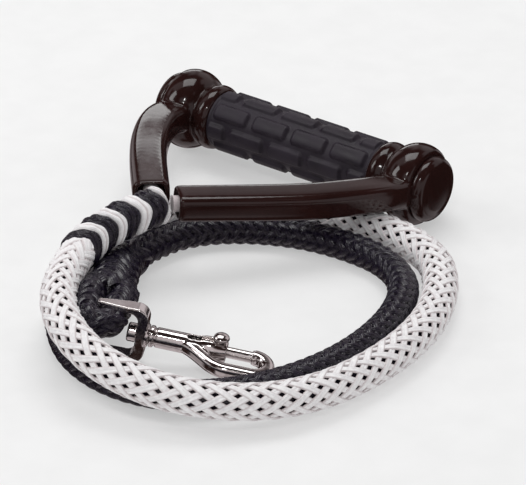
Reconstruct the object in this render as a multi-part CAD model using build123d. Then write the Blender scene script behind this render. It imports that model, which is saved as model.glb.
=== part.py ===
from build123d import *
from math import cos, pi, radians, sin, tan
import os

# Tow rope handle: a gripped bar between two moulded arms, on a doubled rope lead
# that ends in a swivel bolt snap.
# Frame: millimetres, +X along the grip, the arms reach towards -Y, +Z up.
# Origin: on the floor, under the middle of the handle (without its rope lead).

# ---- driving dimensions -------------------------------------------------------
HALF_SPAN = 81.0        # grip middle to the widest circle of a boss
GRIP_Y = 56.0           # grip axis, forward of the origin
BOSS_R = 24.0           # widest radius of a boss, which is what stands on the floor
GRIP_Z = BOSS_R
BOSS_IN = 24.0          # boss middle to the grip's end
BOSS_OUT = 8.0          # boss middle to the face under the end cap

BAR_R = 12.7
BAR_WALL = 2.0
BAR_PAST_BOSS = 5.0     # the bar ends this far outside the boss middle
SLIP = 0.05             # clearance of parts that slide on to each other

GRIP_BASE_R = 16.6
PAD_R = 18.0
PAD_ROWS = 8
PAD_PITCH = 28.0
PAD_LENGTH = 24.6
PAD_GAP = 2.9

CAP_R = 19.2
CAP_THICK = 7.4
CAP_DOME_R = 130.0
CAP_ROUND = 4.2
CAP_SEAT = 0.5          # the arm is cut back this far round the cap
CAP_SKIRT_R = 16.0
CAP_SKIRT_WALL = 2.4
CAP_SKIRT_DEPTH = 4.0

ARM_W_ROOT = 22.0
ARM_W_END = 21.0
ARM_H_ROOT = 17.0
ARM_H_END = 16.0
ARM_CORNER = 4.6
TUNNEL_R = 5.6
BRIDLE_R = 4.6
KNOT_R = 7.6
KNOT_X = HALF_SPAN - 1.5   # where the bridle's knots sit inside the bar

ROPE_R = 8.25           # black core rope
SLEEVE_R = 10.25        # outside of the open white braid over it
BAND_R = 11.3           # outside of the splice bands
WHITE_BAND = 7.4        # length of a white band along the rope
BLACK_BAND = 10.0
FIRST_BAND = 3.0        # the white one between the arms' ends
BAND_PAIRS = 4
BAND_GAP = 0.6

EYE_R = 5.6
EYE_RISE = 4.6          # the eye rides this far up the bow's bar
THROAT_R = 11.2

SNAP_AT = (34.8, -174.5, 21.6)   # middle of the bow's bar
SNAP_HEADING = 29.0     # degrees from +X towards +Y
SNAP_DIP = 9.4          # degrees below level
HOOK_ROLL = 6.0         # degrees, the hook's side down

# Along the snap's axis, from the middle of the bow's bar.
BOW_BAR_R = 2.2
BOW_BAR_HALF_H = 15.6
BOW_HALF_H = 17.0
BOW_PRONG = 3.6
BOW_WIDTH = 8.6
WEB_IN = 21.4           # inside face of the bow's web
WEB_OUT = 27.2
POST_R = 2.6            # the rivet that the bow turns on
HEAD_R = 5.2
HEAD_THICK = 4.6
NECK_AT = WEB_OUT + 1.3
NECK_R = 6.0
SHANK_R = 5.6
BARREL_END = 70.5
BORE_END = 36.0
BOLT_R = 3.0
BOLT_TAIL = 56.0
BOLT_TIP = 87.5
BOLT_TRAVEL = 16.0
STUD_AT = 66.6
STUD_R = 1.6
SPRING_R = 2.25
SPRING_WIRE_R = 0.28
SPRING_TURNS = 8
HOOK_TIP_AT = 84.0
HOOK_BEND_X = 85.5
HOOK_BEND_R = 8.2       # half the distance from the bolt to the hook's back
HOOK_THICK = 7.4
HOOK_DEEP = 8.0

EYE_BEND = BOW_BAR_R + EYE_R + 0.25     # the eye's bend round the bow's bar
# Right leg of the eye in the snap's frame, from the bow's bar to the throat.
EYE_LEG = [
    (EYE_BEND, -EYE_BEND, EYE_RISE), (EYE_BEND, 8.0, EYE_RISE),
    (EYE_BEND + 0.6, 24.0, EYE_RISE - 2.2), (6.2, 40.0, EYE_RISE - 6.0),
]
# Share of the throat's length, and its radius there.
THROAT = [(0.0, ROPE_R), (0.2, 10.2), (0.45, THROAT_R), (0.75, THROAT_R + 0.3), (1.0, THROAT_R + 0.4)]


def write(name, shape):
    export_step(shape, f"parts/{name}.step")


def rod(radius, x0, x1):
    """A cylinder along X from x0 to x1."""
    return Pos(x0, 0, 0) * extrude(Plane.YZ * Circle(radius), x1 - x0)


def group(shapes):
    return Compound(children=list(shapes))


# ---- cord routes --------------------------------------------------------------
# One rope from the arms' ends to the snap: it falls from the arms over its own
# return, lies round the floor in a wide turn inside the white braid, comes back
# under the arms, and lies a second, smaller turn bare.
ROPE_ROUTE = [
    (2, -77, 42.5), (-5, -92, 40.5), (-11, -112, 37.5), (-9.5, -133, 35.5), (-1, -156.5, 35),
    (14.6, -183.5, 36.8), (35.2, -203, 35.2), (58, -212, 30), (81, -212.5, 24.5), (105.5, -206.5, 20),
    (130.5, -193, 17), (149.5, -171.5, 13.7), (162, -142, 11), (168, -108, 10.3), (168, -73, 10.3),
    (161, -41, 10.3), (146, -12, 10.3), (126, 10, 10.3), (100, 19, 10.3), (70, 20.5, 10.3),
    (41, 14, 10.3), (11, 2, 10.3), (-17, -21, 10.3), (-33, -50, 10.3), (-37, -82, 10.3),
    (-30, -112, 10.3), (-14.5, -141, 10), (2, -168, 9), (26, -188, 8.3), (53, -198, 8.3),
    (80, -198, 8.3), (104.5, -188, 8.3), (124.5, -168, 8.3), (139, -142, 8.3), (147, -112, 8.3),
    (148, -80.5, 8.3), (142.5, -50, 8.3), (129, -22, 8.3), (105.5, -6, 8.3), (77, -3, 8.3),
    (47, -7, 8.3), (18, -20.5, 8.3), (-3, -40, 8.3), (-11.5, -64, 8.8), (-9.5, -89, 10.8),
]
SLEEVE_FROM = 3         # the white braid starts midway along the run after this point
SLEEVE_TO = 26          # and ends midway along the run after this one
BEND_SHARE = 0.45


def middle(a, b):
    return tuple((p + q) / 2 for p, q in zip(a, b))


def bend_radii(points):
    """The arc at each inner point, as large as its two runs allow."""
    radii = []
    for before, here, after in zip(points, points[1:], points[2:]):
        run_in = Vector(*here) - Vector(*before)
        run_out = Vector(*after) - Vector(*here)
        half_turn = radians(run_in.get_angle(run_out)) / 2
        radii.append(BEND_SHARE * min(run_in.length, run_out.length) / tan(half_turn))
    return radii


ROPE_RADII = bend_radii(ROPE_ROUTE)


def rope_path(first, last):
    """The rope's centreline; 3 is route point 3, and 3.5 the middle of the run after it."""
    inner = [i for i in range(len(ROPE_ROUTE)) if first < i < last]

    def at(place):
        whole = int(place)
        if place == whole:
            return ROPE_ROUTE[whole]
        return middle(ROPE_ROUTE[whole], ROPE_ROUTE[whole + 1])

    points = [at(first)] + [ROPE_ROUTE[i] for i in inner] + [at(last)]
    radii = [ROPE_RADII[i - 1] for i in inner]
    return FilletPolyline(*points, radius=radii)


def tube(path, radius, bore=0.0):
    """A round tube along a path, solid or with a bore."""
    start = Plane(origin=path @ 0, z_dir=path % 0)
    body = sweep(start * Circle(radius), path=path)
    if bore:
        body -= sweep(start * Circle(bore), path=path)
    return body


def report(name, shape, area, length):
    print(f"{name}: volume {shape.volume:.0f}, section x length {area * length:.0f}, length {length:.0f}")


# ---- handle ---------------------------------------------------------------------
def at_grip(shape):
    return Pos(0, GRIP_Y, GRIP_Z) * shape


def mirrored(shape):
    return mirror(shape, about=Plane.YZ)


def make_bar():
    half = HALF_SPAN + BAR_PAST_BOSS
    bar = rod(BAR_R, -half, half) - rod(BAR_R - BAR_WALL, -half - 1, half + 1)
    for x in (-KNOT_X, KNOT_X):
        # the bridle goes in through the bar's front wall
        bar -= Pos(x, 0, 0) * extrude(Plane.XZ * Circle(TUNNEL_R + 0.2), BAR_R + 5)
    return at_grip(bar)


def make_foam():
    half = HALF_SPAN - KNOT_R - 2
    return at_grip(rod(BAR_R - BAR_WALL - SLIP, -half, half))


def make_grip():
    """Rubber sleeve with staggered rows of raised pads."""
    half = HALF_SPAN - BOSS_IN
    sleeve = rod(GRIP_BASE_R, -half, half)
    skin = rod(PAD_R, -half + 1.5, half - 1.5) - rod(GRIP_BASE_R - 0.6, -half, half)
    pad_w = 2 * pi * PAD_R / PAD_ROWS - PAD_GAP
    blanks = []
    for row in range(PAD_ROWS):
        offset = PAD_PITCH / 2 if row % 2 else 0
        for k in range(-3, 4):
            x0 = max(k * PAD_PITCH + offset - PAD_LENGTH / 2, -half + 1.5)
            x1 = min(k * PAD_PITCH + offset + PAD_LENGTH / 2, half - 1.5)
            if x1 - x0 < 4:
                continue
            pad = Pos((x0 + x1) / 2, 0, PAD_R) * Box(x1 - x0, pad_w, 6)
            pad = fillet(pad.edges().filter_by(Axis.Z), 1.6)
            blanks.append(Rot(360 * row / PAD_ROWS, 0, 0) * pad)
    pads = [skin & blank for blank in blanks]
    sleeve = sleeve + pads
    return at_grip(sleeve - rod(BAR_R + SLIP, -half - 1, half + 1))


def boss_profile():
    """Half section of a boss, x outward along the grip axis from its widest circle."""
    outline = Polyline((-BOSS_IN, 18.2), (-BOSS_IN, 0), (BOSS_OUT, 0), (BOSS_OUT, 21.4))
    outline += ThreePointArc((BOSS_OUT, 21.4), (-1.0, BOSS_R), (-11.2, 19.6))
    outline += ThreePointArc((-11.2, 19.6), (-12.6, 18.3), (-14.2, 18.4))
    outline += ThreePointArc((-14.2, 18.4), (-18.4, 19.6), (-BOSS_IN, 18.2))
    return make_face(outline)


# Arm stations from the boss to the open end: place, heading from -Y towards -X.
ARM_LINE = [
    (HALF_SPAN - 2.0, -3.0, 24.0), (HALF_SPAN - 0.8, -15.0, 26.0), (HALF_SPAN - 2.5, -30.0, 29.6),
    (70.5, -48.5, 32.4), (57.5, -70.0, 34.8), (40.5, -92.0, 38.0), (22.5, -113.0, 41.0), (8.5, -129.0, 43.0),
]


def arm_curve():
    points = [(x, y + GRIP_Y, z) for x, y, z in ARM_LINE]
    return Spline(*points)


def arm_section(curve, share, width, height, corner):
    along = curve % share
    level = Vector(0, 0, 1).cross(along)
    plane = Plane(origin=curve @ share, x_dir=level, z_dir=along)
    return plane * RectangleRounded(width, height, corner)


def make_arm():
    """Right arm: boss, collar and hollow arm in one moulding."""
    boss = Pos(HALF_SPAN, GRIP_Y, GRIP_Z) * revolve(boss_profile(), Axis.X)
    curve = arm_curve()
    sections = []
    for k in range(7):
        share = 0.06 + 0.94 * k / 6
        width = ARM_W_ROOT + (ARM_W_END - ARM_W_ROOT) * share
        height = ARM_H_ROOT + (ARM_H_END - ARM_H_ROOT) * share
        sections.append(arm_section(curve, share, width, height, ARM_CORNER))
    arm = boss + loft(sections)
    arm -= at_grip(rod(BAR_R + SLIP, HALF_SPAN - BOSS_IN - 1, HALF_SPAN + BOSS_OUT + 1))
    arm -= at_grip(rod(CAP_SKIRT_R + SLIP, HALF_SPAN + BOSS_OUT - CAP_SKIRT_DEPTH - 0.4,
                       HALF_SPAN + BOSS_OUT + 1))
    arm -= at_grip(rod(CAP_R + CAP_SEAT, HALF_SPAN + BOSS_OUT, HALF_SPAN + BOSS_OUT + 20))
    arm -= tube(bridle_path(past_end=12.0), TUNNEL_R)
    return arm


def make_cap():
    """Right end cap: a domed disc with a skirt that presses into the boss."""
    crown = BOSS_OUT + CAP_THICK + 1.2
    cap = rod(CAP_R, BOSS_OUT, crown) & Pos(crown - CAP_DOME_R, 0, 0) * Sphere(CAP_DOME_R)
    rim = [edge for edge in cap.edges() if edge.center().X > BOSS_OUT + 1 and edge.length > 2 * CAP_R]
    cap = fillet(rim, CAP_ROUND)
    skirt = rod(CAP_SKIRT_R, BOSS_OUT - CAP_SKIRT_DEPTH, BOSS_OUT)
    skirt -= rod(CAP_SKIRT_R - CAP_SKIRT_WALL, BOSS_OUT - CAP_SKIRT_DEPTH - 1, BOSS_OUT)
    return Pos(HALF_SPAN, GRIP_Y, GRIP_Z) * (cap + skirt)


BRIDLE_LINE = [(KNOT_X, 0, 24.0), (KNOT_X + 0.2, -15.0, 24.2)] + ARM_LINE[2:]


def bridle_path(past_end=0.0):
    """Right bridle leg: from the middle of the bar, through the arm to its end."""
    points = [Vector(x, y + GRIP_Y, z) for x, y, z in BRIDLE_LINE]
    if past_end:
        points[-1] += (points[-1] - points[-2]).normalized() * past_end
    points = [tuple(p) for p in points]
    return FilletPolyline(*points, radius=bend_radii(points))


KNOT_AT = (KNOT_X, -BAR_R + BAR_WALL + KNOT_R + 0.1, 0)


def make_bridle():
    """The leg of rope held inside the right arm, up to its knot."""
    return tube(bridle_path(past_end=2.0), BRIDLE_R) - make_knot()


def make_knot():
    """Stopper knot, pulled up against the inside of the bar."""
    return at_grip(Pos(*KNOT_AT) * Sphere(KNOT_R))


# ---- splice and rope ------------------------------------------------------------
def make_bands():
    """Rings of white and black rope wrapped in turn round the start of the lead."""
    path = rope_path(0, SLEEVE_FROM + 0.5)
    rings = []
    at = 0.0
    for k in range(2 * BAND_PAIRS):
        length = BLACK_BAND if k % 2 else (WHITE_BAND if k else FIRST_BAND)
        share = (at + length / 2) / path.length
        plane = Plane(origin=path @ share, z_dir=path % share)
        ring = Cylinder(BAND_R, length - BAND_GAP)
        ring = fillet(ring.edges(), min(2.2, 0.3 * length))
        rings.append(plane.location * (ring - Cylinder(ROPE_R + 0.2, length + 2)))
        at += length
    return group(rings[1::2]), group(rings[0::2])


def snap_plane():
    heading = radians(SNAP_HEADING)
    dip = radians(SNAP_DIP)
    along = (cos(heading) * cos(dip), sin(heading) * cos(dip), -sin(dip))
    up = (cos(heading) * sin(dip), sin(heading) * sin(dip), cos(dip))
    return Plane(origin=SNAP_AT, x_dir=along, z_dir=up)


SNAP = snap_plane()


def make_eye():
    """The rope's spliced eye, bent round the bow's bar."""
    legs = [(-x, y, z) for x, y, z in reversed(EYE_LEG)] + EYE_LEG
    legs = [tuple(SNAP.from_local_coords(p)) for p in legs]
    tight = EYE_BEND - 0.05
    radii = bend_radii(legs)
    radii[2] = radii[3] = tight  # round the bow's bar
    return tube(FilletPolyline(*legs, radius=radii), EYE_R)


def make_throat():
    """The thick splice between the rope's end and the legs of the eye."""
    start = Vector(*ROPE_ROUTE[-1])
    end = SNAP.from_local_coords((0, *EYE_LEG[-1][1:]))
    heading_in = start - Vector(*ROPE_ROUTE[-2])
    heading_out = SNAP.from_local_coords((0, *EYE_LEG[-2][1:])) - end
    spine = Spline(start, end, tangents=(heading_in, heading_out))
    sections = []
    for share, radius in THROAT:
        sections.append(Plane(origin=spine @ share, z_dir=spine % share) * Circle(radius))
    return loft(sections)


# ---- snap, in its own frame: x along its axis from the bow's bar to the hook -------
def make_bow():
    """Swivel bow: a flat closed ring, its bar in the rope's eye, its web on the post."""
    outer = make_face(Polyline((-BOW_BAR_R, -BOW_BAR_HALF_H), (WEB_OUT, -BOW_HALF_H),
                               (WEB_OUT, BOW_HALF_H), (-BOW_BAR_R, BOW_BAR_HALF_H), close=True))
    outer = fillet(outer.vertices().group_by(Axis.X)[-1], 7.0)
    outer = fillet(outer.vertices().group_by(Axis.X)[0], 2.0)
    inner_h = BOW_BAR_HALF_H - BOW_PRONG
    inner = make_face(Polyline((0, -inner_h), (WEB_IN, -inner_h - 1.1), (WEB_IN, inner_h + 1.1),
                               (0, inner_h), close=True))
    inner = fillet(inner.vertices().group_by(Axis.X)[-1], 4.6)
    ring = extrude(Plane.XZ * (outer - inner), BOW_WIDTH / 2, both=True)
    bar = Circle(BOW_BAR_R)
    flare = make_face(Polyline((0, -BOW_BAR_R), (WEB_IN - 6, -BOW_WIDTH / 2), (WEB_OUT + 4, -BOW_WIDTH / 2),
                               (WEB_OUT + 4, BOW_WIDTH / 2), (WEB_IN - 6, BOW_WIDTH / 2), (0, BOW_BAR_R),
                               close=True))
    ring &= Pos(0, 0, -20) * extrude(bar + flare, 40)
    ring += Cylinder(BOW_BAR_R, 2 * inner_h + 1)
    ring += rod(6.2, WEB_OUT - 1, WEB_OUT + 1.0)
    return ring - rod(POST_R + SLIP, WEB_IN - 1, WEB_OUT + 4)


def make_rivet():
    """Headed post that the bow turns on, pressed into the body."""
    head = rod(HEAD_R, WEB_IN - 0.3 - HEAD_THICK, WEB_IN - 0.3)
    head = fillet(head.edges().group_by(Axis.X)[0], 1.2)
    return head + rod(POST_R, WEB_IN - 0.5, BORE_END - 2.5)


def hook_path():
    """From the hook's tip, round the bend and back along the hook to the barrel."""
    bend_y = -2 * HOOK_BEND_R
    bend = ThreePointArc((HOOK_BEND_X, 0), (HOOK_BEND_X + HOOK_BEND_R, bend_y / 2), (HOOK_BEND_X, bend_y))
    back = Line((HOOK_BEND_X, bend_y), (73.0, bend_y))
    root = Spline((73.0, bend_y), (60.0, -10.6), (47.0, -1.5), tangents=((-1, 0), (-1, 0.45)))
    return Curve() + [bend, back, root]


def make_snap_body():
    """Barrel and hook in one casting."""
    body = rod(NECK_R, NECK_AT, NECK_AT + 2.6)
    body = fillet(body.edges(), 0.8)
    body += rod(SHANK_R - 0.8, NECK_AT + 1, BORE_END)
    barrel = rod(SHANK_R, NECK_AT + 3.6, BARREL_END)
    body += fillet(barrel.edges(), 0.7)
    swell = Pos(62.0, 0, 0) * scale(Sphere(1), by=(14.0, 6.7, 6.7))
    body += swell & rod(9, 45, BARREL_END)
    path = hook_path()
    section = Plane(origin=(HOOK_BEND_X, 0, 0), x_dir=(0, 1, 0), z_dir=(1, 0, 0))
    body += sweep(section * RectangleRounded(HOOK_THICK, HOOK_DEEP, 2.9), path=path)
    tip = rod(HOOK_THICK / 2 + 0.2, HOOK_TIP_AT, HOOK_BEND_X + 2.5)
    body += fillet(tip.edges().group_by(Axis.X)[0], 0.7)
    body -= rod(BOLT_R + 0.25, HOOK_TIP_AT - 1, BOLT_TIP + 0.3)
    body -= rod(BOLT_R + SLIP, BORE_END, BARREL_END + 1)
    body -= rod(POST_R, NECK_AT - 1, BORE_END - 2.5)
    slot_from = STUD_AT - BOLT_TRAVEL - STUD_R - 0.4
    slot_to = STUD_AT + STUD_R + 0.4
    slot = Box(slot_to - slot_from, 2 * STUD_R + 0.6, 12, align=(Align.MIN, Align.CENTER, Align.MIN))
    body -= Pos(slot_from, 0, 0) * fillet(slot.edges().filter_by(Axis.Z), STUD_R)
    return body


def make_bolt():
    bolt = rod(BOLT_R, BOLT_TAIL, BOLT_TIP)
    bolt = fillet(bolt.edges().group_by(Axis.X)[-1], 0.9)
    return bolt - Pos(STUD_AT, 0, 0) * Cylinder(STUD_R, 20, align=(Align.CENTER, Align.CENTER, Align.MIN))


def make_stud():
    """Thumb stud: a stem in the bolt, with a rounded head outside the barrel."""
    stem = Cylinder(STUD_R, 8.6, align=(Align.CENTER, Align.CENTER, Align.MIN))
    head = Pos(0, 0, 8.6) * scale(Sphere(1), by=(4.3, 4.3, 2.1))
    return Pos(STUD_AT, 0, 0) * (stem + head)


def make_spring():
    length = BOLT_TAIL - BORE_END - 2 * SPRING_WIRE_R - 0.4
    helix = Helix(pitch=length / SPRING_TURNS, height=length, radius=SPRING_R)
    helix = Pos(BORE_END + SPRING_WIRE_R + 0.2, 0, 0) * (Rot(0, 90, 0) * helix)
    start = Plane(origin=helix @ 0, z_dir=helix % 0)
    return sweep(start * Circle(SPRING_WIRE_R), path=helix, is_frenet=True)


def place_snap(shape):
    return SNAP.location * shape


def place_hook(shape):
    return SNAP.location * (Rot(HOOK_ROLL, 0, 0) * shape)


# ---- write every node -----------------------------------------------------------
os.makedirs("parts", exist_ok=True)

write("handle_tube", make_bar())
write("foam_core", make_foam())
write("grip", make_grip())
pairs = (("arm", make_arm()), ("end_cap", make_cap()), ("bridle", make_bridle()), ("bridle_knot", make_knot()))
for name, shape in pairs:
    write(f"{name}_right", shape)
    write(f"{name}_left", mirrored(shape))

black_bands, white_bands = make_bands()
write("splice_bands_black", black_bands)
write("splice_bands_white", white_bands)
core_path = rope_path(0, SLEEVE_TO + 0.5)
sleeve_path = rope_path(SLEEVE_FROM + 0.5, SLEEVE_TO + 0.5)
tail_path = rope_path(SLEEVE_TO + 0.5, len(ROPE_ROUTE) - 1)
core = tube(core_path, ROPE_R)
sleeve = tube(sleeve_path, SLEEVE_R, ROPE_R)
tail = tube(tail_path, ROPE_R)
write("rope_core", core)
write("rope_sleeve", sleeve)
write("rope_tail", tail)
write("eye_splice", make_throat())
write("eye_loop", make_eye())

write("snap_bow", place_snap(make_bow()))
write("swivel_rivet", place_hook(make_rivet()))
write("snap_body", place_hook(make_snap_body()))
write("snap_bolt", place_hook(make_bolt()))
write("thumb_stud", place_hook(make_stud()))
write("snap_spring", place_hook(make_spring()))

report("rope_core", core, pi * ROPE_R ** 2, core_path.length)
report("rope_sleeve", sleeve, pi * (SLEEVE_R ** 2 - ROPE_R ** 2), sleeve_path.length)
report("rope_tail", tail, pi * ROPE_R ** 2, tail_path.length)
print("rope radii:", [round(r) for r in ROPE_RADII])
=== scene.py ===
from math import copysign, cos, pi, radians, sin

import bmesh
import bpy
import numpy as np
from mathutils import Matrix, Vector


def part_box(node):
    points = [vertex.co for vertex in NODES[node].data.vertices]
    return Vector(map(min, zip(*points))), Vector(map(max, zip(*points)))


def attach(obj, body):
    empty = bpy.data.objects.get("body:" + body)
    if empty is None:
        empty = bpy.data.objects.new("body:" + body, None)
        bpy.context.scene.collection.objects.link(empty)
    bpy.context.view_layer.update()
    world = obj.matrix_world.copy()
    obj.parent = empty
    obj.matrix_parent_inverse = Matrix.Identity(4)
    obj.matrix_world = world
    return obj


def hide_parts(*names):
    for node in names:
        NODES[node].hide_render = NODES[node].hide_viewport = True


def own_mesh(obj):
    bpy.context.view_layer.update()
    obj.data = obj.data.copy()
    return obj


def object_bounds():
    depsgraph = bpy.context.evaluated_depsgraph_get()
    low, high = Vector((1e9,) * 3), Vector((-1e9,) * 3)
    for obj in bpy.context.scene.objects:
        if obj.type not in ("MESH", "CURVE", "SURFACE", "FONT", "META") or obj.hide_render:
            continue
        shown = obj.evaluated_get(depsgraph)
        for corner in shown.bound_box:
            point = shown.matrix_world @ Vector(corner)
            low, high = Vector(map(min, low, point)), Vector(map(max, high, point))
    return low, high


# Looks for the tow rope handle: glossy mouldings, rubber grip, braided rope, plated snap.
# Metres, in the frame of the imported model.

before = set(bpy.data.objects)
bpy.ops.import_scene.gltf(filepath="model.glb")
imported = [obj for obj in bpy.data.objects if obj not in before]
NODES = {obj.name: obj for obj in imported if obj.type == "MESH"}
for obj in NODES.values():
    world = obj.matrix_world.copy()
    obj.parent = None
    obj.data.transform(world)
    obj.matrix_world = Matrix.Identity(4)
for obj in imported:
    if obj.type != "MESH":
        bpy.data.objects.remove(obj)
cad_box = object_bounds()
MM = 0.001

# ---- sizes, the same as the part's -------------------------------------------------
HALF_SPAN = 0.081
BOSS_IN = 0.024
BOSS_OUT = 0.008
PAD_R = 0.0180
GRIP_BASE_R = 0.0166
PAD_ROWS = 8
PAD_PITCH = 0.028
PAD_LENGTH = 0.0246
PAD_GAP = 0.0029
CAP_R = 0.0192
CAP_THICK = 0.0074
ARM_W_ROOT = 0.022
ARM_W_END = 0.021
ARM_H_ROOT = 0.017
ARM_H_END = 0.016
ROPE_R = 0.00825
SLEEVE_R = 0.01025
BAND_R = 0.0113
WHITE_BAND = 0.0074
BLACK_BAND = 0.0100
FIRST_BAND = 0.003
BAND_PAIRS = 4
BAND_LAP = 0.0005
EYE_R = 0.0056
BOW_BAR_R = 0.0022
EYE_BEND = BOW_BAR_R + EYE_R + 0.00025      # the eye's bend round the bow's bar
EYE_RISE = 0.0046
SNAP_AT = (0.0348, -0.1745, 0.0216)
SNAP_HEADING = radians(29.0)
SNAP_DIP = radians(9.4)
SLEEVE_TO = 26          # the white braid ends midway along the run after this route point

ROPE_ROUTE = [
    (2, -77, 42.5), (-5, -92, 40.5), (-11, -112, 37.5), (-9.5, -133, 35.5), (-1, -156.5, 35),
    (14.6, -183.5, 36.8), (35.2, -203, 35.2), (58, -212, 30), (81, -212.5, 24.5), (105.5, -206.5, 20),
    (130.5, -193, 17), (149.5, -171.5, 13.7), (162, -142, 11), (168, -108, 10.3), (168, -73, 10.3),
    (161, -41, 10.3), (146, -12, 10.3), (126, 10, 10.3), (100, 19, 10.3), (70, 20.5, 10.3),
    (41, 14, 10.3), (11, 2, 10.3), (-17, -21, 10.3), (-33, -50, 10.3), (-37, -82, 10.3),
    (-30, -112, 10.3), (-14.5, -141, 10), (2, -168, 9), (26, -188, 8.3), (53, -198, 8.3),
    (80, -198, 8.3), (104.5, -188, 8.3), (124.5, -168, 8.3), (139, -142, 8.3), (147, -112, 8.3),
    (148, -80.5, 8.3), (142.5, -50, 8.3), (129, -22, 8.3), (105.5, -6, 8.3), (77, -3, 8.3),
    (47, -7, 8.3), (18, -20.5, 8.3), (-3, -40, 8.3), (-11.5, -64, 8.8), (-9.5, -89, 10.8),
]
ARM_LINE = [
    (79.0, -3.0, 24.0), (80.2, -15.0, 26.0), (78.5, -30.0, 29.6), (70.5, -48.5, 32.4),
    (57.5, -70.0, 34.8), (40.5, -92.0, 38.0), (22.5, -113.0, 41.0), (8.5, -129.0, 43.0),
]

grip_low, grip_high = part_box("grip")
GRIP_MIDDLE = (Vector(grip_low) + Vector(grip_high)) / 2

# ---- looks ---------------------------------------------------------------------------
CORE_R = ROPE_R - 0.0009        # rope without the relief of its braid
SIDE_POWER = 0.46               # of the arm's section: 1 is an ellipse, 0 a sharp rectangle
ARM_VOXEL = 0.0006
CASTING_VOXEL = 0.00035
EYE_LIFT = 0.0024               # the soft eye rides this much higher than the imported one
MOULDING_DARK = (0.0155, 0.0058, 0.0052, 1)
MOULDING_LIGHT = (0.022, 0.0080, 0.0072, 1)
RUBBER_DARK = (0.0150, 0.0105, 0.0175, 1)
RUBBER_LIGHT = (0.0245, 0.0175, 0.0280, 1)
PLATE_DARK = (0.66, 0.62, 0.61, 1)
PLATE_LIGHT = (0.82, 0.79, 0.78, 1)
ROOM_DARK = (0.035, 0.018, 0.015, 1)
ROOM_LIGHT = (0.95, 0.86, 0.88, 1)


# ---- camera --------------------------------------------------------------------------
def look_from(azimuth, elevation, distance, target):
    """A place at a distance from the target, and the direction from there to it."""
    azimuth, elevation = radians(azimuth), radians(elevation)
    forward = Vector((-sin(azimuth) * cos(elevation), cos(azimuth) * cos(elevation), -sin(elevation)))
    return Vector(target) - forward * distance, forward


def add_camera():
    place, forward = look_from(36.86, 28.49, 2.0, (0.04874, -0.04617, 0.020))
    data = bpy.data.cameras.new("camera")
    data.sensor_width = 36.0
    data.lens = 246.6
    camera = bpy.data.objects.new("camera", data)
    camera.location = place
    camera.rotation_euler = forward.to_track_quat("-Z", "Y").to_euler()
    bpy.context.collection.objects.link(camera)
    bpy.context.scene.camera = camera


# ---- materials -------------------------------------------------------------------------
class Shader:
    """A Principled material with short calls for its nodes."""

    def __init__(self, name, **values):
        self.material = bpy.data.materials.new(name)
        self.material.use_nodes = True
        self.nodes = self.material.node_tree.nodes
        self.links = self.material.node_tree.links
        self.main = self.nodes["Principled BSDF"]
        for key, value in values.items():
            self.main.inputs[key.replace("_", " ")].default_value = value

    def node(self, kind, inputs=(), **settings):
        made = self.nodes.new(kind)
        for key, value in settings.items():
            setattr(made, key, value)
        for key, value in dict(inputs).items():
            if isinstance(value, bpy.types.NodeSocket):
                self.links.new(value, made.inputs[key])
            else:
                made.inputs[key].default_value = value
        return made

    def place(self, scale, kind="Object"):
        coords = self.node("ShaderNodeTexCoord")
        mapping = self.node("ShaderNodeMapping", {"Vector": coords.outputs[kind], "Scale": scale})
        return mapping.outputs["Vector"]

    def noise(self, scale, detail=3.0, stretch=(1, 1, 1), kind="Object"):
        return self.node("ShaderNodeTexNoise", {
            "Vector": self.place(stretch, kind), "Scale": scale, "Detail": detail, "Roughness": 0.55})

    def ramp(self, source, low, high, stops=(0.35, 0.65)):
        made = self.node("ShaderNodeValToRGB", {"Fac": source})
        made.color_ramp.elements[0].position = stops[0]
        made.color_ramp.elements[1].position = stops[1]
        made.color_ramp.elements[0].color = low
        made.color_ramp.elements[1].color = high
        return made.outputs["Color"]

    def bump(self, height, strength, distance, normal=None):
        inputs = {"Height": height, "Strength": strength, "Distance": distance}
        if normal is not None:
            inputs["Normal"] = normal
        made = self.node("ShaderNodeBump", inputs)
        self.links.new(made.outputs["Normal"], self.main.inputs["Normal"])
        return made.outputs["Normal"]

    def feed(self, socket, value):
        self.links.new(value, self.main.inputs[socket])


def grey(value):
    return (value, value, value, 1.0)


def moulding_material():
    """Glossy brown-black injection moulding, with a faint ripple and handling marks."""
    shader = Shader("glossy_moulding", Roughness=0.1, IOR=1.45)
    patches = shader.noise(28.0, detail=2.0)
    shader.feed("Base Color", shader.ramp(patches.outputs["Fac"], MOULDING_DARK, MOULDING_LIGHT))
    marks = shader.noise(260.0, detail=4.0)
    shader.feed("Roughness", shader.ramp(marks.outputs["Fac"], grey(0.07), grey(0.15)))
    ripple = shader.noise(40.0, detail=0.0)
    shader.bump(ripple.outputs["Fac"], 0.08, 0.0005)
    return shader.material


def rubber_material():
    """Matt dark rubber with a fine moulded grain."""
    shader = Shader("grip_rubber", Roughness=0.55, Specular_IOR_Level=0.4)
    dust = shader.noise(60.0, detail=5.0)
    shader.feed("Base Color", shader.ramp(dust.outputs["Fac"], RUBBER_DARK, RUBBER_LIGHT))
    shader.feed("Roughness", shader.ramp(dust.outputs["Fac"], grey(0.42), grey(0.6)))
    grain = shader.noise(2600.0, detail=2.0)
    shader.bump(grain.outputs["Fac"], 0.35, 0.0001)
    return shader.material


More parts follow.
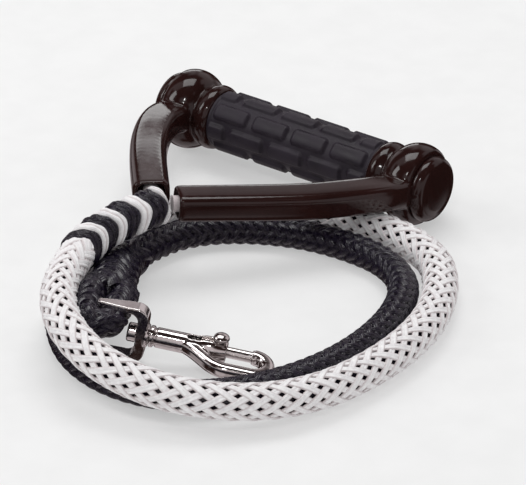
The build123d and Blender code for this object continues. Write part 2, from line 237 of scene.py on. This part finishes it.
def fibre_material(name, dark, light, painted_edge_shade, rough, sheen, specular):
    """Rope yarn: fine fibres along each strand, with uneven colour and painted shade towards the strands' edges."""
    shader = Shader(name, Sheen_Weight=sheen, Specular_IOR_Level=specular)
    fibres = shader.noise(9.0, detail=3.0, stretch=(2.2, 55.0, 1), kind="UV")
    tufts = shader.noise(420.0, detail=3.0)
    blend = shader.node("ShaderNodeMath", {0: fibres.outputs["Fac"], 1: tufts.outputs["Fac"]}, operation="ADD")
    half = shader.node("ShaderNodeMath", {0: blend.outputs[0], 1: 0.5}, operation="MULTIPLY")
    colour = shader.ramp(half.outputs[0], dark, light, (0.36, 0.62))
    # painted shade: strands are darker towards their edges, where they dip under their neighbours
    across = shader.node("ShaderNodeSeparateXYZ", {"Vector": shader.place((1, 1, 1), "UV")})
    part = shader.node("ShaderNodeMath", {0: across.outputs["X"]}, operation="FRACT")
    off = shader.node("ShaderNodeMath", {0: part.outputs[0], 1: 0.5}, operation="SUBTRACT")
    edge = shader.node("ShaderNodeMath", {0: off.outputs[0]}, operation="ABSOLUTE")
    shade = shader.ramp(edge.outputs[0], grey(1.0), painted_edge_shade, (0.28, 0.5))
    mixed = shader.node("ShaderNodeMix", {"Factor": 1.0}, data_type="RGBA", blend_type="MULTIPLY")
    shader.links.new(colour, mixed.inputs[6])
    shader.links.new(shade, mixed.inputs[7])
    shader.feed("Base Color", mixed.outputs[2])
    shader.feed("Roughness", shader.ramp(tufts.outputs["Fac"], grey(rough[0]), grey(rough[1])))
    along = shader.place((1, 0.02, 1), "UV")
    yarn = shader.node("ShaderNodeTexWave", {
        "Vector": along, "Scale": 1.9, "Distortion": 2.5, "Detail": 2.0, "Detail Scale": 1.5}, bands_direction="X")
    soft = shader.bump(yarn.outputs["Fac"], 0.45, 0.0003)
    shader.bump(tufts.outputs["Fac"], 0.55, 0.0003, soft)
    return shader.material


def plated_material():
    """Bright nickel plate over a slightly uneven casting."""
    shader = Shader("bright_plate", Metallic=1.0, Roughness=0.08)
    tone = shader.noise(90.0, detail=2.0)
    shader.feed("Base Color", shader.ramp(tone.outputs["Fac"], PLATE_DARK, PLATE_LIGHT))
    wear = shader.noise(700.0, detail=4.0)
    shader.feed("Roughness", shader.ramp(wear.outputs["Fac"], grey(0.05), grey(0.16)))
    casting = shader.noise(130.0, detail=2.0)
    shader.bump(casting.outputs["Fac"], 0.18, 0.0006)
    return shader.material


def plain_metal_material(name, colour, rough):
    shader = Shader(name, Metallic=1.0)
    drawn = shader.noise(300.0, detail=3.0, stretch=(0.05, 1, 1))
    shader.feed("Base Color", shader.ramp(drawn.outputs["Fac"], grey(colour * 0.85), grey(colour)))
    shader.feed("Roughness", shader.ramp(drawn.outputs["Fac"], grey(rough), grey(rough + 0.15)))
    return shader.material


def foam_material():
    shader = Shader("foam", Roughness=0.9)
    cells = shader.node("ShaderNodeTexVoronoi", {"Vector": shader.place((1, 1, 1)), "Scale": 900.0})
    shader.feed("Base Color", shader.ramp(cells.outputs["Distance"], grey(0.015), grey(0.035)))
    shader.bump(cells.outputs["Distance"], 0.5, 0.0003)
    return shader.material


# ---- mesh helpers ------------------------------------------------------------------------
def mesh_object(name, verts, faces, material, uvs=None):
    """An object from arrays; uvs are per vertex."""
    data = bpy.data.meshes.new(name)
    data.from_pydata([tuple(v) for v in verts], [], faces)
    if uvs is not None:
        layer = data.uv_layers.new(name="UVMap")
        index = np.empty(len(data.loops), dtype=np.int32)
        data.loops.foreach_get("vertex_index", index)
        layer.data.foreach_set("uv", np.asarray(uvs, dtype=np.float32)[index].ravel())
    data.polygons.foreach_set("use_smooth", [True] * len(data.polygons))
    data.materials.append(material)
    data.update()
    made = bpy.data.objects.new(name, data)
    bpy.context.collection.objects.link(made)
    return made


def grid_faces(rows, columns, first=0, wrap=False):
    """Quads of a grid of rows by columns vertices, wound so that they face outward."""
    faces = []
    last = columns if wrap else columns - 1
    for i in range(rows - 1):
        for j in range(last):
            k = (j + 1) % columns
            a = first + i * columns
            faces.append((a + j, a + k, a + columns + k, a + columns + j))
    return faces


def reskin(piece, material, voxel, rounds):
    """Gives a piece one even skin with eased edges."""
    remesh = piece.modifiers.new("skin", "REMESH")
    remesh.mode = "VOXEL"
    remesh.voxel_size = voxel
    ease = piece.modifiers.new("ease", "SMOOTH")
    ease.factor = 0.5
    ease.iterations = rounds
    graph = bpy.context.evaluated_depsgraph_get()
    data = bpy.data.meshes.new_from_object(piece.evaluated_get(graph))
    piece.modifiers.clear()
    piece.data = data
    piece.data.materials.clear()
    piece.data.materials.append(material)
    piece.data.polygons.foreach_set("use_smooth", [True] * len(piece.data.polygons))


def cord_curve(name, points):
    """A smooth open spline that the given points pull."""
    data = bpy.data.curves.new(name, "CURVE")
    data.dimensions = "3D"
    spline = data.splines.new("NURBS")
    spline.points.add(len(points) - 1)
    for point, place in zip(spline.points, points):
        point.co = (*place, 1.0)
    spline.order_u = 3
    spline.use_endpoint_u = True
    spline.resolution_u = 10
    made = bpy.data.objects.new(name, data)
    bpy.context.collection.objects.link(made)
    return made


class Line:
    """A curve's own points by distance along it, with side directions that don't twist."""

    def __init__(self, curve):
        mesh = bpy.data.meshes.new_from_object(curve)
        points = np.array([v.co[:] for v in mesh.vertices])
        bpy.data.meshes.remove(mesh)
        steps = np.linalg.norm(np.diff(points, axis=0), axis=1)
        self.path = points
        self.s = np.concatenate([[0.0], np.cumsum(steps)])
        self.length = float(self.s[-1])
        along = np.gradient(points, self.s, axis=0)
        along /= np.linalg.norm(along, axis=1)[:, None]
        side = Vector((0, 0, 1)).cross(Vector(along[0])).normalized()
        sides = []
        for direction in along:
            direction = Vector(direction)
            side = (side - direction * side.dot(direction)).normalized()
            sides.append(side[:])
        self.along = along
        self.side = np.array(sides)
        self.up = np.cross(along, self.side)

    def at(self, s):
        """Points, sides and ups at the distances s."""
        def read(values):
            return np.stack([np.interp(s, self.s, values[:, k]) for k in range(3)], axis=-1)
        return read(self.path), read(self.side), read(self.up)


def guide_line(points):
    """The line of a spline that is only a guide."""
    curve = cord_curve("guide", points)
    line = Line(curve)
    bpy.data.objects.remove(curve)
    return line


def radii(value, s):
    """A radius that is a number, or pairs of distance and radius."""
    if np.isscalar(value):
        return np.full_like(s, value)
    return np.interp(s, [d for d, r in value], [r for d, r in value])


def end_faces(rows, columns):
    """The faces that close the first and the last row of a wrapped grid."""
    first = tuple(range(columns))
    return [first[::-1], tuple((rows - 1) * columns + j for j in first)]


def tube(name, line, radius, material, around=28, step=0.0015):
    """A closed round tube along a whole line."""
    count = int(line.length / step)
    s = np.linspace(0, line.length, count)
    centre, side, up = line.at(s)
    angle = np.linspace(0, 2 * pi, around, endpoint=False)
    ring = spokes(angle, side, up)
    verts = centre[:, None] + ring * radii(radius, s)[:, None, None]
    faces = grid_faces(count, around, wrap=True) + end_faces(count, around)
    uvs = np.stack(np.meshgrid(angle * 0.6, s * 40, indexing="xy"), axis=-1).reshape(-1, 2)
    return mesh_object(name, verts.reshape(-1, 3), faces, material, uvs)


def spokes(angle, side, up):
    """Directions round a line, one row for each place on it."""
    return np.cos(angle)[None, :, None] * side[:, None] + np.sin(angle)[None, :, None] * up[:, None]


# sections across a strand: share of its width, share of its thickness
ROUND_STRAND = ((-0.5, -0.55), (-0.42, 0.25), (-0.2, 0.85), (0.0, 1.0), (0.2, 0.85), (0.42, 0.25), (0.5, -0.55))
FLAT_STRAND = ((-0.5, -0.9), (-0.47, 0.4), (-0.38, 0.9), (-0.24, 1.0), (-0.06, 0.55), (0.0, 0.3), (0.06, 0.55),
               (0.24, 1.0), (0.38, 0.9), (0.47, 0.4), (0.5, -0.9))


def braid(name, line, s0, s1, radius, material, carriers, turn, width, thick, wave, step=0.0012,
          section=ROUND_STRAND, tight=0.0):
    """Strands wound both ways round a line, each over two and under two of the others.

    There are as many carriers each way, and one goes round in a turn's length; tight widens
    the strands near the start.
    """
    count = int((s1 - s0) / step)
    s = np.linspace(s0, s1, count)
    centre, side, up = line.at(s)
    base = radii(radius, s)
    across_at = np.array([p for p, h in section])
    height_at = np.array([h for p, h in section])
    verts, faces, uvs = [], [], []
    first = 0
    for way in (1, -1):
        for k in range(carriers):
            angle = way * 2 * pi * s / turn + 2 * pi * k / carriers
            crossing = 2 * carriers * s / turn
            lift = way * np.sin(pi / 2 * (2 * k + way * crossing) + pi / 4)
            uneven = 1 + 0.06 * np.sin(s * 310 + k * 2.1 + way) + tight * np.exp(-((s - s0) / 0.022) ** 2)
            out = np.cos(angle)[:, None] * side + np.sin(angle)[:, None] * up
            middle = centre + out * (base + wave * lift)[:, None]
            heading = np.gradient(middle, axis=0)
            heading /= np.linalg.norm(heading, axis=1)[:, None]
            across = np.cross(heading, out)
            across /= np.linalg.norm(across, axis=1)[:, None]
            reach = across_at[None, :] * (width * uneven)[:, None]
            # the edges follow the round of the rope
            sink = reach ** 2 / (2 * base[:, None]) * 1.2
            rise = height_at[None, :] * thick - sink
            ribbon = middle[:, None] + across[:, None] * reach[..., None] + out[:, None] * rise[..., None]
            verts.append(ribbon.reshape(-1, 3))
            faces += grid_faces(count, len(section), first)
            uv = np.stack(np.meshgrid(across_at + 0.5 + k, s * 1.2 / width, indexing="xy"), axis=-1)
            uvs.append(uv.reshape(-1, 2))
            first += count * len(section)
    return mesh_object(name, np.concatenate(verts), faces, material, np.concatenate(uvs))


def lathe(name, profile, material, middle, around=96, mirrored=False):
    """A closed turned shape about the grip's axis; profile is (outward, radius)."""
    hand = -1 if mirrored else 1
    outward = hand * np.array([p for p, r in profile])
    radius = np.array([r for p, r in profile])
    angle = -hand * np.linspace(0, 2 * pi, around, endpoint=False)
    x = np.repeat(outward[:, None], around, axis=1)
    y = radius[:, None] * np.cos(angle)
    z = radius[:, None] * np.sin(angle)
    verts = np.stack([x, y, z], axis=-1).reshape(-1, 3) + np.array(middle)
    faces = grid_faces(len(profile), around, wrap=True) + end_faces(len(profile), around)
    made = mesh_object(name, verts, faces, material)
    face_out(made)
    return made


def face_out(piece):
    """Turns every face of a closed shape outward."""
    mesh = bmesh.new()
    mesh.from_mesh(piece.data)
    bmesh.ops.recalc_face_normals(mesh, faces=mesh.faces)
    mesh.to_mesh(piece.data)
    mesh.free()


# ---- handle ------------------------------------------------------------------------------
def smooth_step(value, low, high):
    t = np.clip((value - low) / (high - low), 0, 1)
    return t * t * (3 - 2 * t)


def add_grip(material):
    """Rubber sleeve: staggered rows of long pillow pads, between two plain collars."""
    half = HALF_SPAN - BOSS_IN
    rows, columns = 380, 252
    x = np.linspace(-half, half, rows)
    angle = np.linspace(0, 2 * pi, columns, endpoint=False)
    grid_x, grid_a = np.meshgrid(x, angle, indexing="ij")
    lane = grid_a / (2 * pi) * PAD_ROWS
    row = np.floor(lane + 0.5)
    from_lane = (lane - row) * 2 * pi * PAD_R / PAD_ROWS
    offset = np.where(row % 2 == 1, PAD_PITCH / 2, 0.0)
    from_pad = (grid_x - offset + PAD_PITCH * 10.5) % PAD_PITCH - PAD_PITCH / 2
    pad_half_w = pi * PAD_R / PAD_ROWS - PAD_GAP / 2
    side = np.abs(from_lane) - pad_half_w
    end = np.abs(from_pad) - PAD_LENGTH / 2
    corner = 0.0030
    # distance past the rim of the nearest pad, negative inside it
    outside = np.hypot(np.maximum(side + corner, 0), np.maximum(end + corner, 0)) - corner
    inside = np.minimum(np.maximum(side, end), 0)
    edge = np.where(outside > -corner, outside, inside)
    pad = 1 - smooth_step(edge, -0.0020, 0.0004)
    crown = 1 - 0.30 * (from_lane / pad_half_w) ** 2
    border = smooth_step(half - np.abs(grid_x), 0.0012, 0.0024)
    height = (PAD_R - GRIP_BASE_R + 0.0009) * pad * crown * border
    collar = 0.0006 * (1 - smooth_step(half - np.abs(grid_x), 0.0010, 0.0020))
    radius = GRIP_BASE_R - 0.0005 + height + collar
    verts = np.stack([grid_x, radius * np.cos(grid_a), radius * np.sin(grid_a)], axis=-1).reshape(-1, 3)
    verts = verts + np.array(GRIP_MIDDLE)
    made = mesh_object("grip_sleeve", verts, grid_faces(rows, columns, wrap=True), material)
    face_out(made)
    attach(made, "handle")
    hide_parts("grip")


def boss_profile():
    """Collar, groove and ball, from the grip's end outward; pairs of outward and radius."""
    profile = [(-BOSS_IN, 0.0128), (-BOSS_IN, 0.0168), (-BOSS_IN + 0.0004, 0.0180), (-BOSS_IN + 0.0014, 0.0186)]
    for k in range(1, 10):
        t = k / 9
        profile.append((-0.0226 + 0.0080 * t, 0.0186 + 0.0012 * sin(pi * t) - 0.0006 * t))
    profile += [(-0.0138, 0.0176), (-0.0131, 0.0172), (-0.0124, 0.0176)]
    for k in range(17):
        angle = radians(136 - 118 * k / 16)
        profile.append((-0.0005 + 0.0165 * cos(angle) * 0.98, 0.0075 + 0.0165 * sin(angle)))
    kept = [p for p in profile if p[0] <= BOSS_OUT - 0.0006]
    return kept + [(BOSS_OUT - 0.0003, 0.0198), (BOSS_OUT, 0.0190), (BOSS_OUT, 0.0128)]


def soft_rectangle(width, height, count=72):
    """A rectangle with crowned sides that run into round corners."""
    points = []
    for k in range(count):
        angle = 2 * pi * (k + 0.5) / count
        c, s = cos(angle), sin(angle)
        points.append((copysign(abs(c) ** SIDE_POWER, c) * width / 2, copysign(abs(s) ** SIDE_POWER, s) * height / 2))
    return points


def arm_mesh(material):
    """The right moulding: boss and arm in one skin, with an open rounded end."""
    boss = lathe("arm_boss", boss_profile(), material, GRIP_MIDDLE + Vector((HALF_SPAN, 0, 0)), around=120)
    line = guide_line([(x * MM, y * MM + GRIP_MIDDLE.y, z * MM) for x, y, z in ARM_LINE])
    # distance along the arm, and the section's size there; the last ones turn in to make the open end
    end = line.length
    stations = [(0.002 + (end - 0.0045) * k / 44, 1.0) for k in range(45)]
    stations += [(end - 0.0014, 0.985), (end - 0.0004, 0.93), (end, 0.84), (end - 0.0006, 0.74), (end - 0.008, 0.66)]
    rings = []
    for s, size in stations:
        share = s / end
        width = (ARM_W_ROOT + (ARM_W_END - ARM_W_ROOT) * share) * size
        height = (ARM_H_ROOT + (ARM_H_END - ARM_H_ROOT) * share) * size
        centre = Vector(line.at(np.array([s]))[0][0])
        ahead = line.at(np.array([min(s + 0.001, end)]))[0][0] - line.at(np.array([s - 0.001]))[0][0]
        level = Vector((0, 0, 1)).cross(Vector(ahead)).normalized()
        rise = Vector(ahead).cross(level).normalized()
        rings.append([centre + level * a + rise * b for a, b in soft_rectangle(width, height)])
    columns = len(rings[0])
    faces = grid_faces(len(rings), columns, wrap=True)
    faces += [tuple(range(columns)), tuple((len(rings) - 1) * columns + j for j in range(columns))[::-1]]
    arm = mesh_object("arm_right_skin", [p for ring in rings for p in ring], faces, material)
    face_out(arm)
    both = bmesh.new()
    both.from_mesh(arm.data)
    both.from_mesh(boss.data)
    both.to_mesh(arm.data)
    both.free()
    bpy.data.objects.remove(boss)
    reskin(arm, material, ARM_VOXEL, 40)
    return arm


def add_arms(material):
    right = arm_mesh(material)
    left = right.copy()
    left.name = "arm_left_skin"
    left.data = right.data.copy()
    left.data.transform(Matrix.Scale(-1, 4, (1, 0, 0)))
    left.data.flip_normals()
    bpy.context.collection.objects.link(left)
    for piece, node in ((right, "arm_right"), (left, "arm_left")):
        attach(piece, "handle")
        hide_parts(node)


def add_caps(material):
    """Domed end caps with a soft rim."""
    crown = BOSS_OUT + CAP_THICK + 0.0012
    profile = [(BOSS_OUT, 0.0), (BOSS_OUT, CAP_R - 0.0012), (BOSS_OUT + 0.0003, CAP_R - 0.0004),
               (BOSS_OUT + 0.0010, CAP_R)]
    rounding = 0.0052
    for k in range(11):
        angle = radians(90 * k / 10)
        profile.append((crown - 0.0013 - rounding + rounding * sin(angle), CAP_R - rounding + rounding * cos(angle)))
    for radius in (0.0125, 0.011, 0.009, 0.007, 0.005, 0.003, 0.0012):
        profile.append((crown - radius ** 2 / 0.26, radius))
    profile.append((crown, 0.0002))
    for side, node in ((1, "end_cap_right"), (-1, "end_cap_left")):
        middle = GRIP_MIDDLE + Vector((side * HALF_SPAN, 0, 0))
        cap = lathe(f"{node}_skin", profile, material, middle, mirrored=side < 0)
        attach(cap, "handle")
        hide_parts(node)


# ---- rope ----------------------------------------------------------------------------------
def snap_point(x, y, z):
    """A point given in the snap's own frame."""
    along = Vector((cos(SNAP_HEADING) * cos(SNAP_DIP), sin(SNAP_HEADING) * cos(SNAP_DIP), -sin(SNAP_DIP)))
    up = Vector((cos(SNAP_HEADING) * sin(SNAP_DIP), sin(SNAP_HEADING) * sin(SNAP_DIP), cos(SNAP_DIP)))
    return Vector(SNAP_AT) + along * x + up.cross(along) * y + up * z


def band_mesh(name, line, s0, s1, strands, material):
    """A wrap of parallel strands that bows towards the arms on its near, upper side."""
    around, along = 84, 10 * strands + 3
    share = np.linspace(0, 1, along)
    hump = np.sqrt(np.clip(1 - (2 * share - 1) ** 2, 0, 1))
    angle = np.linspace(0, 2 * pi, around, endpoint=False)
    # the strands wander a little as they go round
    wander = share[:, None] + 0.07 * np.sin(2 * angle + 900 * s0)[None, :] * hump[:, None]
    strand = np.abs(np.sin(pi * strands * np.clip(wander, 0, 1)))
    mid = line.at(np.array([(s0 + s1) / 2]))
    near = Vector((0.62, -0.55, 0.40))
    near_angle = np.arctan2(near.dot(Vector(mid[2][0])), near.dot(Vector(mid[1][0])))
    # how far each side of the band is drawn back along the rope
    point = 0.0042 * np.exp(-((np.angle(np.exp(1j * (angle - near_angle))) / 0.75) ** 2)) - 0.0012
    s = s0 + share[:, None] * (s1 - s0) - point[None, :]
    verts = np.empty((along, around, 3))
    for j in range(around):
        centre, side, up = line.at(np.clip(s[:, j], 0, line.length))
        lump = 0.00025 * np.sin(angle[j] * 5 + s[:, j] * 900) * hump
        r = BAND_R - 0.0028 + 0.0019 * hump + 0.0010 * strand[:, j] * hump + lump
        verts[:, j] = centre + (cos(angle[j]) * side + sin(angle[j]) * up) * r[:, None]
    uvs = np.stack([wander * strands, np.repeat(angle[None, :] * 2.2, along, axis=0)], axis=-1).reshape(-1, 2)
    return mesh_object(name, verts.reshape(-1, 3), grid_faces(along, around, wrap=True), material, uvs)


def add_bands(line, white, black):
    at = 0.0
    bands = {"white": [], "black": []}
    for k in range(2 * BAND_PAIRS):
        colour = "black" if k % 2 else "white"
        length = BLACK_BAND if k % 2 else (WHITE_BAND if k else FIRST_BAND)
        strands = 3 if k % 2 else 2
        band = band_mesh(f"splice_{colour}_{k // 2}", line, at - BAND_LAP, at + length + BAND_LAP, strands,
                        black if k % 2 else white)
        bands[colour].append(band)
        at += length
    for colour, pieces in bands.items():
        for piece in pieces:
            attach(piece, "handle")
        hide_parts(f"splice_bands_{colour}")
    return bands["white"] + bands["black"], at


def add_eye(rope_line, black):
    """The tucked splice and the eye it makes round the bow's bar."""
    top = EYE_RISE + EYE_LIFT
    # one leg in the snap's frame, from the far side of the bow's bar to the throat
    leg = [(EYE_BEND * 0.55, -EYE_BEND * 1.12, top), (EYE_BEND * 1.06, -EYE_BEND * 0.45, top),
           (EYE_BEND, 0.008, EYE_RISE + 0.0016), (EYE_BEND + 0.0006, 0.024, EYE_RISE - 0.0012),
           (0.0062, 0.040, EYE_RISE - 0.006)]
    loop = [(-x, y, z) for x, y, z in reversed(leg)] + leg
    eye = guide_line([snap_point(*p) for p in loop])
    # distance along the eye and radius: the leg away from the hook is fatter
    sizes = [(0, 0.0078), (0.022, 0.0080), (0.036, 0.0074), (eye.length / 2, 0.0062), (eye.length - 0.036, 0.0060),
             (eye.length - 0.022, 0.0064), (eye.length, 0.0078)]
    inner = tube("eye_core", eye, [(d, r - 0.0008) for d, r in sizes], black)
    weave = braid("eye_braid", eye, 0, eye.length, [(d, r - 0.0004) for d, r in sizes], black, 5, 0.040, 0.0078,
                  0.0019, 0.0009, step=0.001)
    start = Vector(rope_line.path[-1])
    into = Vector(rope_line.along[-1])
    end = snap_point(0, 0.036, EYE_RISE - 0.0052)
    out = (snap_point(0, 0.020, EYE_RISE - 0.0015) - end).normalized()
    throat_line = guide_line([start - into * 0.006, start, start + into * 0.014, end - out * 0.012, end,
                              end + out * 0.010])
    length = throat_line.length
    sizes = [(0, ROPE_R - 0.0008), (0.010, 0.0086), (0.022, 0.0104), (0.036, 0.0110), (length - 0.010, 0.0112),
             (length - 0.003, 0.0104), (length, 0.0088)]
    throat = tube("throat_core", throat_line, [(d, r - 0.0008) for d, r in sizes], black)
    tucks = braid("throat_braid", throat_line, 0, length, [(d, r - 0.0003) for d, r in sizes], black, 6, 0.066,
                  0.0086, 0.0022, 0.0010, step=0.001)
    for piece, node in ((inner, "eye_loop"), (throat, "eye_splice")):
        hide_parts(node)
    pieces = [inner, weave, throat, tucks]
    for piece in pieces:
        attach(piece, "handle")
    return pieces


def add_rope(white, black):
    """One black rope: wrapped splice, open white braid, bare tail, and the eye that holds the snap."""
    rope = cord_curve("black_rope", [(x * MM, y * MM, z * MM) for x, y, z in ROPE_ROUTE])
    line = Line(rope)
    rope.data.bevel_depth = CORE_R
    rope.data.bevel_resolution = 8
    rope.data.use_fill_caps = True
    rope.data.materials.append(black)
    bands, splice_end = add_bands(line, white, black)
    stop = (Vector(ROPE_ROUTE[SLEEVE_TO]) + Vector(ROPE_ROUTE[SLEEVE_TO + 1])) / 2 * MM
    sleeve_end = float(line.s[np.argmin(np.linalg.norm(line.path - np.array(stop), axis=1))])
    sleeve = braid("white_braid", line, splice_end - 0.003, sleeve_end, SLEEVE_R - 0.0009, white, 8, 0.088,
                   0.0038, 0.00048, 0.00040, section=FLAT_STRAND, tight=0.6)
    tail = braid("black_braid", line, sleeve_end - 0.004, line.length, CORE_R, black, 8, 0.056,
                 0.0050, 0.0011, 0.0005)
    for piece, slot in ((rope, "rope_black"), (sleeve, "rope_white"), (tail, "rope_black")):
        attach(piece, "handle")
    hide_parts("rope_core")
    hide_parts("rope_sleeve")
    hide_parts("rope_tail")
    eye = add_eye(line, black)


# ---- stage and lights -------------------------------------------------------------------------
def add_floor():
    """Plain paper that glows a little, so that shadows stay pale; reflections don't show it."""
    shader = Shader("floor_paper", Roughness=0.9, Specular_IOR_Level=0.05, Emission_Strength=0.42)
    shader.main.inputs["Emission Color"].default_value = grey(1.0)
    fibres = shader.noise(40.0, detail=2.0)
    shader.feed("Base Color", shader.ramp(fibres.outputs["Fac"], grey(0.44), grey(0.46)))
    data = bpy.data.meshes.new("floor")
    size = 6.0
    level = cad_box[0][2]
    data.from_pydata([(-size, -size, level), (size, -size, level), (size, size, level), (-size, size, level)], [],
                     [(0, 1, 2, 3)])
    data.materials.append(shader.material)
    floor = bpy.data.objects.new("floor", data)
    floor.visible_glossy = False
    bpy.context.collection.objects.link(floor)


def add_panel(name, azimuth, elevation, distance, width, height, power):
    """A soft light panel, placed by direction from the handle and facing it."""
    place, forward = look_from(azimuth, elevation, distance, (0.03, -0.06, 0.02))
    data = bpy.data.lights.new(name, "AREA")
    data.shape = "RECTANGLE"
    data.size = width
    data.size_y = height
    data.energy = power
    panel = bpy.data.objects.new(name, data)
    panel.location = place
    panel.rotation_euler = forward.to_track_quat("-Z", "Y").to_euler()
    bpy.context.collection.objects.link(panel)


def add_lights():
    world = bpy.data.worlds.new("studio")
    world.use_nodes = True
    tree = world.node_tree
    sky = tree.nodes["Background"]
    sky.inputs["Strength"].default_value = 0.62
    # an even room for soft shadows, seen in reflections as a dark one with pale patches
    path = tree.nodes.new("ShaderNodeLightPath")
    coords = tree.nodes.new("ShaderNodeTexCoord")
    noise = tree.nodes.new("ShaderNodeTexNoise")
    noise.inputs["Scale"].default_value = 1.7
    noise.inputs["Detail"].default_value = 1.0
    tree.links.new(coords.outputs["Generated"], noise.inputs["Vector"])
    patches = tree.nodes.new("ShaderNodeValToRGB")
    patches.color_ramp.elements[0].position = 0.47
    patches.color_ramp.elements[1].position = 0.58
    patches.color_ramp.elements[0].color = ROOM_DARK
    patches.color_ramp.elements[1].color = ROOM_LIGHT
    tree.links.new(noise.outputs["Fac"], patches.inputs["Fac"])
    seen = tree.nodes.new("ShaderNodeMix")
    seen.data_type = "RGBA"
    seen.inputs[6].default_value = grey(1.0)
    tree.links.new(path.outputs["Is Glossy Ray"], seen.inputs["Factor"])
    tree.links.new(patches.outputs["Color"], seen.inputs[7])
    tree.links.new(seen.outputs[2], sky.inputs["Color"])
    bpy.context.scene.world = world
    add_panel("overhead", 215.0, 72.0, 1.5, 0.9, 0.7, 7.5)
    add_panel("back_card", 219.0, 9.0, 1.8, 0.6, 0.34, 1.1)
    add_panel("left_window", -52.0, 40.0, 1.6, 0.45, 0.7, 4.5)
    add_panel("front_spot", 30.0, 50.0, 1.8, 0.12, 0.12, 2.2)
    bpy.context.scene.view_settings.view_transform = "Standard"


def soften(node, body, material, rounds):
    """A cast part: the node's shape with every edge eased."""
    source = NODES[node]
    data = source.data.copy()
    data.transform(source.matrix_world)
    skin = bpy.data.objects.new(f"{node}_skin", data)
    bpy.context.collection.objects.link(skin)
    reskin(skin, material, CASTING_VOXEL, rounds)
    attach(skin, body)
    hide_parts(node)
    return skin


def add_spring(material):
    """The coil behind the bolt, in the shape the part gives it."""
    source = NODES["snap_spring"]
    data = source.data.copy()
    data.transform(source.matrix_world)
    data.materials.clear()
    data.materials.append(material)
    coil = bpy.data.objects.new("spring_coil", data)
    bpy.context.collection.objects.link(coil)
    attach(coil, "snap")
    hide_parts("snap_spring")
    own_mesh(coil)
    return coil


# ---- build -----------------------------------------------------------------------------------
def dress(material, *nodes):
    """Puts a material on carried-over CAD nodes."""
    for name in nodes:
        data = NODES[name].data
        data.materials.clear()
        data.materials.append(material)


add_camera()
# each yarn's third colour is the painted shade darkening its strands' edges
white_yarn = fibre_material("white_yarn", (0.80, 0.77, 0.79, 1), (0.97, 0.96, 0.96, 1), (0.68, 0.62, 0.62, 1),
                            rough=(0.45, 0.7), sheen=0.1, specular=0.5)
black_yarn = fibre_material("black_yarn", (0.0034, 0.0024, 0.0060, 1), (0.014, 0.0095, 0.024, 1), grey(0.4),
                            rough=(0.16, 0.34), sheen=0.0, specular=0.6)
plate = plated_material()
snap_skins = [soften("snap_bow", "bow", plate, 14), soften("snap_body", "snap", plate, 8),
              add_spring(plain_metal_material("spring_steel", 0.6, 0.25))]
add_rope(white_yarn, black_yarn)
moulding = moulding_material()
add_arms(moulding)
add_caps(moulding)
add_grip(rubber_material())
dress(plate, "swivel_rivet", "snap_bolt", "thumb_stud")
dress(plain_metal_material("bar_aluminium", 0.75, 0.3), "handle_tube")
dress(foam_material(), "foam_core")
dress(white_yarn, "bridle_left", "bridle_right", "bridle_knot_left", "bridle_knot_right")
add_floor()
add_lights()
